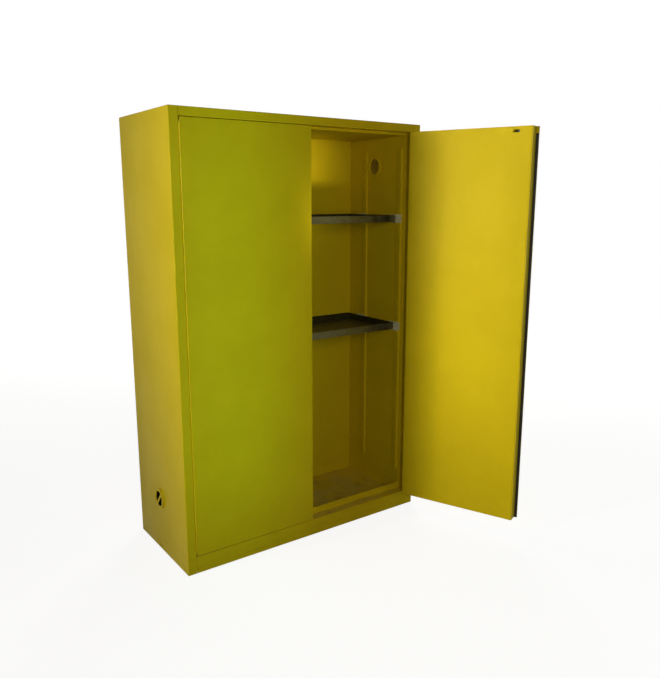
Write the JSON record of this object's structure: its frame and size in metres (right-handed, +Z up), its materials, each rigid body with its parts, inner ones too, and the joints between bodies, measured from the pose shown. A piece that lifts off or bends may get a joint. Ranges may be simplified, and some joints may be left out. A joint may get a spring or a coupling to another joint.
{
  "type": "flammable storage cabinet",
  "caption": "Fire-resistant steel storage cabinet with two hinged double-wall doors, a latch with rods, lift-off shelves above a sump tray and vents with bungs.",
  "frame": {"origin": "centre of the cabinet's footprint on the floor, on the underside of the base sheet", "axes": "+Z up, the doors face -Y, +X to the right seen from the front"},
  "size_m": [1.2584, 0.9386, 1.651],
  "materials": {
    "yellow_paint": "smooth yellow powder coat, satin",
    "galvanised": "galvanised sheet, dull grey",
    "bright_steel": "plain bright steel",
    "plated": "plated, satin",
    "seal_rubber": "dark flat sealing strip",
    "guide_plastic": "black moulded guide"
  },
  "bodies": {
    "cabinet": {"side_left": "yellow_paint", "side_right": "yellow_paint", "back_sheet": "yellow_paint", "top_sheet": "yellow_paint", "base_sheet": "yellow_paint", "top_rail": "yellow_paint", "bottom_rail": "yellow_paint", "liner_left": "yellow_paint", "liner_right": "yellow_paint", "liner_back": "yellow_paint", "liner_top": "yellow_paint", "sump_tray": "yellow_paint", "standard_front_left": "yellow_paint", "standard_front_right": "yellow_paint", "standard_rear_left": "yellow_paint", "standard_rear_right": "yellow_paint", "clips_lower": "galvanised", "clips_upper": "galvanised", "vent_lower": "yellow_paint", "vent_upper": "yellow_paint", "vent_ring_lower": "yellow_paint", "vent_ring_upper": "yellow_paint", "arrester_lower": "bright_steel", "arrester_upper": "bright_steel", "hinge_frame_left": "yellow_paint", "hinge_frame_right": "yellow_paint", "hinge_pin_left": "bright_steel", "hinge_pin_right": "bright_steel"},
    "door_left": {"door_left_outer": "yellow_paint", "door_left_inner": "yellow_paint", "door_left_flange": "yellow_paint", "hinge_door_left": "yellow_paint"},
    "door_right": {"door_right_outer": "yellow_paint", "door_right_inner": "yellow_paint", "door_right_strip": "yellow_paint", "edge_seal": "seal_rubber", "hinge_door_right": "yellow_paint", "handle_rose": "plated", "rod_guides": "guide_plastic"},
    "handle": {"handle": "plated", "latch_cam": "bright_steel"},
    "rod_upper": {"rod_upper": "bright_steel"},
    "rod_lower": {"rod_lower": "bright_steel"},
    "key_cylinder": {"key_cylinder": "plated"},
    "shelf_upper": {"shelf_upper": "galvanised"},
    "shelf_lower": {"shelf_lower": "galvanised"},
    "bung_upper": {"vent_bung_upper": "yellow_paint"},
    "bung_lower": {"vent_bung_lower": "yellow_paint"}
  },
  "joints": [
    {"name": "door_right_swing", "type": "hinge", "parent": "cabinet", "child": "door_right", "pos_m": [0.51, -0.2321, 0.843], "axis": [0, 0, 1], "range_deg": [-112, 58]},
    {"name": "door_left_swing", "type": "hinge", "parent": "cabinet", "child": "door_left", "pos_m": [-0.51, -0.2321, 0.843], "axis": [0, 0, -1], "range_deg": [0, 170]},
    {"name": "handle_turn", "type": "hinge", "parent": "door_right", "child": "handle", "pos_m": [0.66587, -0.6275, 0.88], "axis": [-0.9272, -0.3746, 0], "range_deg": [0, 90]},
    {"name": "rod_upper_slide", "type": "slide", "parent": "door_right", "child": "rod_upper", "axis": [0, 0, 1], "range_m": [0, 0.0198]},
    {"name": "rod_lower_slide", "type": "slide", "parent": "door_right", "child": "rod_lower", "axis": [0, 0, -1], "range_m": [0, 0.0198]},
    {"name": "key_turn", "type": "hinge", "parent": "door_right", "child": "key_cylinder", "pos_m": [0.66587, -0.6275, 0.935], "axis": [-0.9272, -0.3746, 0], "range_deg": [0, 90]},
    {"name": "shelf_upper_lift", "type": "slide", "parent": "cabinet", "child": "shelf_upper", "axis": [0, 0, 1], "range_m": [0, 0.03]},
    {"name": "shelf_lower_lift", "type": "slide", "parent": "cabinet", "child": "shelf_lower", "axis": [0, 0, 1], "range_m": [0, 0.03]},
    {"name": "bung_upper_pull", "type": "slide", "parent": "cabinet", "child": "bung_upper", "axis": [1, 0, 0], "range_m": [0, 0.035]},
    {"name": "bung_lower_pull", "type": "slide", "parent": "cabinet", "child": "bung_lower", "axis": [-1, 0, 0], "range_m": [0, 0.035]}
  ],
  "couplings": [
    {"joint": "rod_upper_slide", "follows": "handle_turn", "m_per_rad": 0.012604},
    {"joint": "rod_lower_slide", "follows": "handle_turn", "m_per_rad": 0.012604}
  ]
}
